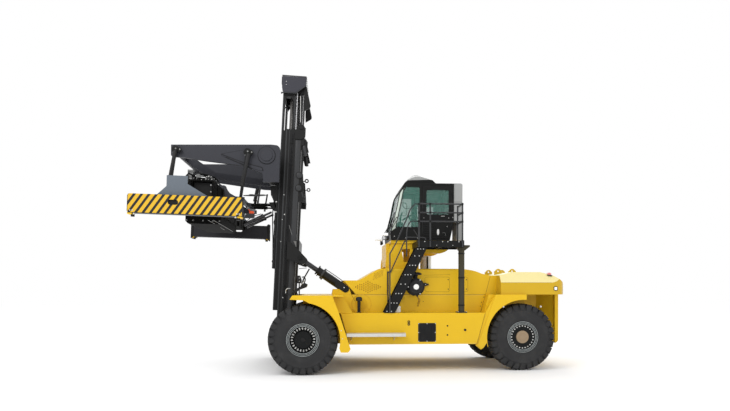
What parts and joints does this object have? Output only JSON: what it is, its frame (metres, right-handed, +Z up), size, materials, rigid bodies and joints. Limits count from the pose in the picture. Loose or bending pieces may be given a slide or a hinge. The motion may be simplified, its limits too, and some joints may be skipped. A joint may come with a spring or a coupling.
{
  "type": "container handling forklift truck",
  "caption": "Heavy forklift truck with a raised cab, twin drive tyres, steered rear wheels and a two-stage mast that carries a telescopic top-lift container spreader.",
  "frame": {"origin": "on the ground at the middle of the truck's overall box", "axes": "+Z up, -X the way the truck drives forward, -Y its left side"},
  "size_m": [10.3041, 6.06, 7.5553],
  "materials": {
    "black_paint": "satin black",
    "chrome": "polished rod",
    "fabric": "black woven seat cloth",
    "glass": "green tinted glass",
    "grey_paint": "satin blue grey",
    "iron": "cast iron",
    "light_grey": "satin light grey",
    "plastic": "matt dark plastic",
    "rim": "satin dark grey",
    "steel": "bare steel",
    "tyre": "matt black rubber",
    "yellow_paint": "gloss machine yellow"
  },
  "bodies": {
    "chassis": {"access_ladder": "black_paint", "air_cleaner": "black_paint", "breather": "plastic", "cab_console": "plastic", "cab_glass": "glass", "cab_pedestal": "yellow_paint", "cab_shell": "black_paint", "chassis_frame": "yellow_paint", "counterweight": "yellow_paint", "drive_axle": "iron", "driver_seat": "fabric", "engine_block": "iron", "engine_hood": "yellow_paint", "exhaust_stack": "light_grey", "front_cowl": "yellow_paint", "front_fenders": "yellow_paint", "handrails": "black_paint", "lower_body": "yellow_paint", "platform": "black_paint", "platform_post": "black_paint", "rear_air_unit": "light_grey", "rear_fenders": "yellow_paint", "roof_unit": "light_grey", "side_steps": "steel", "side_tanks": "yellow_paint", "steer_axle": "iron", "steering_wheel": "plastic", "tail_block": "yellow_paint", "tilt_cylinder_brackets": "yellow_paint"},
    "left_front_wheel": {"left_front_tyres": "tyre", "left_front_rims": "rim"},
    "right_front_wheel": {"right_front_tyres": "tyre", "right_front_rims": "rim"},
    "left_knuckle": {"left_knuckle": "iron"},
    "right_knuckle": {"right_knuckle": "iron"},
    "left_rear_wheel": {"left_rear_tyre": "tyre", "left_rear_rim": "rim"},
    "right_rear_wheel": {"right_rear_tyre": "tyre", "right_rear_rim": "rim"},
    "cab_door": {"cab_door": "black_paint", "door_glass": "glass"},
    "outer_mast": {"outer_mast": "black_paint", "lift_cylinder_barrels": "black_paint"},
    "inner_mast": {"inner_mast": "black_paint", "lift_cylinder_rods": "chrome", "lift_chains": "steel"},
    "carriage": {"carriage_frame": "black_paint", "spreader_arms": "grey_paint", "hanger_frame": "grey_paint", "hangers": "black_paint", "spreader_hydraulics": "black_paint"},
    "spreader": {"spreader_main_frame": "black_paint"},
    "near_telescope": {"near_telescope": "grey_paint"},
    "far_telescope": {"far_telescope": "grey_paint"},
    "tilt_barrels": {"tilt_cylinder_barrels": "black_paint"},
    "tilt_rods": {"tilt_cylinder_rods": "chrome"}
  },
  "joints": [
    {"name": "left_front_spin", "type": "hinge", "parent": "chassis", "child": "left_front_wheel", "pos_m": [-1.445, -1.8, 0.8375], "axis": [0, 1, 0], "continuous": true},
    {"name": "right_front_spin", "type": "hinge", "parent": "chassis", "child": "right_front_wheel", "pos_m": [-1.445, 1.8, 0.8375], "axis": [0, 1, 0], "continuous": true},
    {"name": "left_steer", "type": "hinge", "parent": "chassis", "child": "left_knuckle", "pos_m": [4.005, -0.9, 0.8375], "axis": [0, 0, 1], "range_deg": [-40, 40]},
    {"name": "right_steer", "type": "hinge", "parent": "chassis", "child": "right_knuckle", "pos_m": [4.005, 0.9, 0.8375], "axis": [0, 0, 1], "range_deg": [-40, 40]},
    {"name": "left_rear_spin", "type": "hinge", "parent": "left_knuckle", "child": "left_rear_wheel", "pos_m": [4.005, -1.25, 0.8375], "axis": [0, 1, 0], "continuous": true},
    {"name": "right_rear_spin", "type": "hinge", "parent": "right_knuckle", "child": "right_rear_wheel", "pos_m": [4.005, 1.25, 0.8375], "axis": [0, 1, 0], "continuous": true},
    {"name": "door_swing", "type": "hinge", "parent": "chassis", "child": "cab_door", "pos_m": [2.385, -0.816, 4], "axis": [0, 0, 1], "range_deg": [0, 90]},
    {"name": "mast_tilt", "type": "hinge", "parent": "chassis", "child": "outer_mast", "pos_m": [-1.895, 0, 0.75], "axis": [0, 1, 0], "range_deg": [-6.8, 3.2]},
    {"name": "tilt_barrel_swing", "type": "hinge", "parent": "chassis", "child": "tilt_barrels", "pos_m": [-0.415, 0, 2.04], "axis": [0, 1, 0], "range_deg": [-4.32, 2.06]},
    {"name": "tilt_rod_stroke", "type": "slide", "parent": "tilt_barrels", "child": "tilt_rods", "axis": [-0.8263, 0, 0.5632], "range_m": [-0.1074, 0.2259]},
    {"name": "mast_lift", "type": "slide", "parent": "outer_mast", "child": "inner_mast", "axis": [0.0489, 0, 0.9988], "range_m": [-0.6, 1.45]},
    {"name": "carriage_lift", "type": "slide", "parent": "inner_mast", "child": "carriage", "axis": [0.0489, 0, 0.9988], "range_m": [-0.6, 1.45]},
    {"name": "side_shift", "type": "slide", "parent": "carriage", "child": "spreader", "axis": [0, 1, 0], "range_m": [-0.4, 0.4]},
    {"name": "near_extend", "type": "slide", "parent": "spreader", "child": "near_telescope", "axis": [0, -1, 0], "range_m": [0, 3.066]},
    {"name": "far_extend", "type": "slide", "parent": "spreader", "child": "far_telescope", "axis": [0, 1, 0], "range_m": [0, 3.066]}
  ],
  "couplings": [
    {"joint": "right_steer", "follows": "left_steer", "ratio": 1},
    {"joint": "tilt_barrel_swing", "follows": "mast_tilt", "ratio": 0.62859},
    {"joint": "tilt_rod_stroke", "follows": "mast_tilt", "m_per_rad": -1.8865},
    {"joint": "carriage_lift", "follows": "mast_lift", "ratio": 1},
    {"joint": "far_extend", "follows": "near_extend", "ratio": 1}
  ]
}
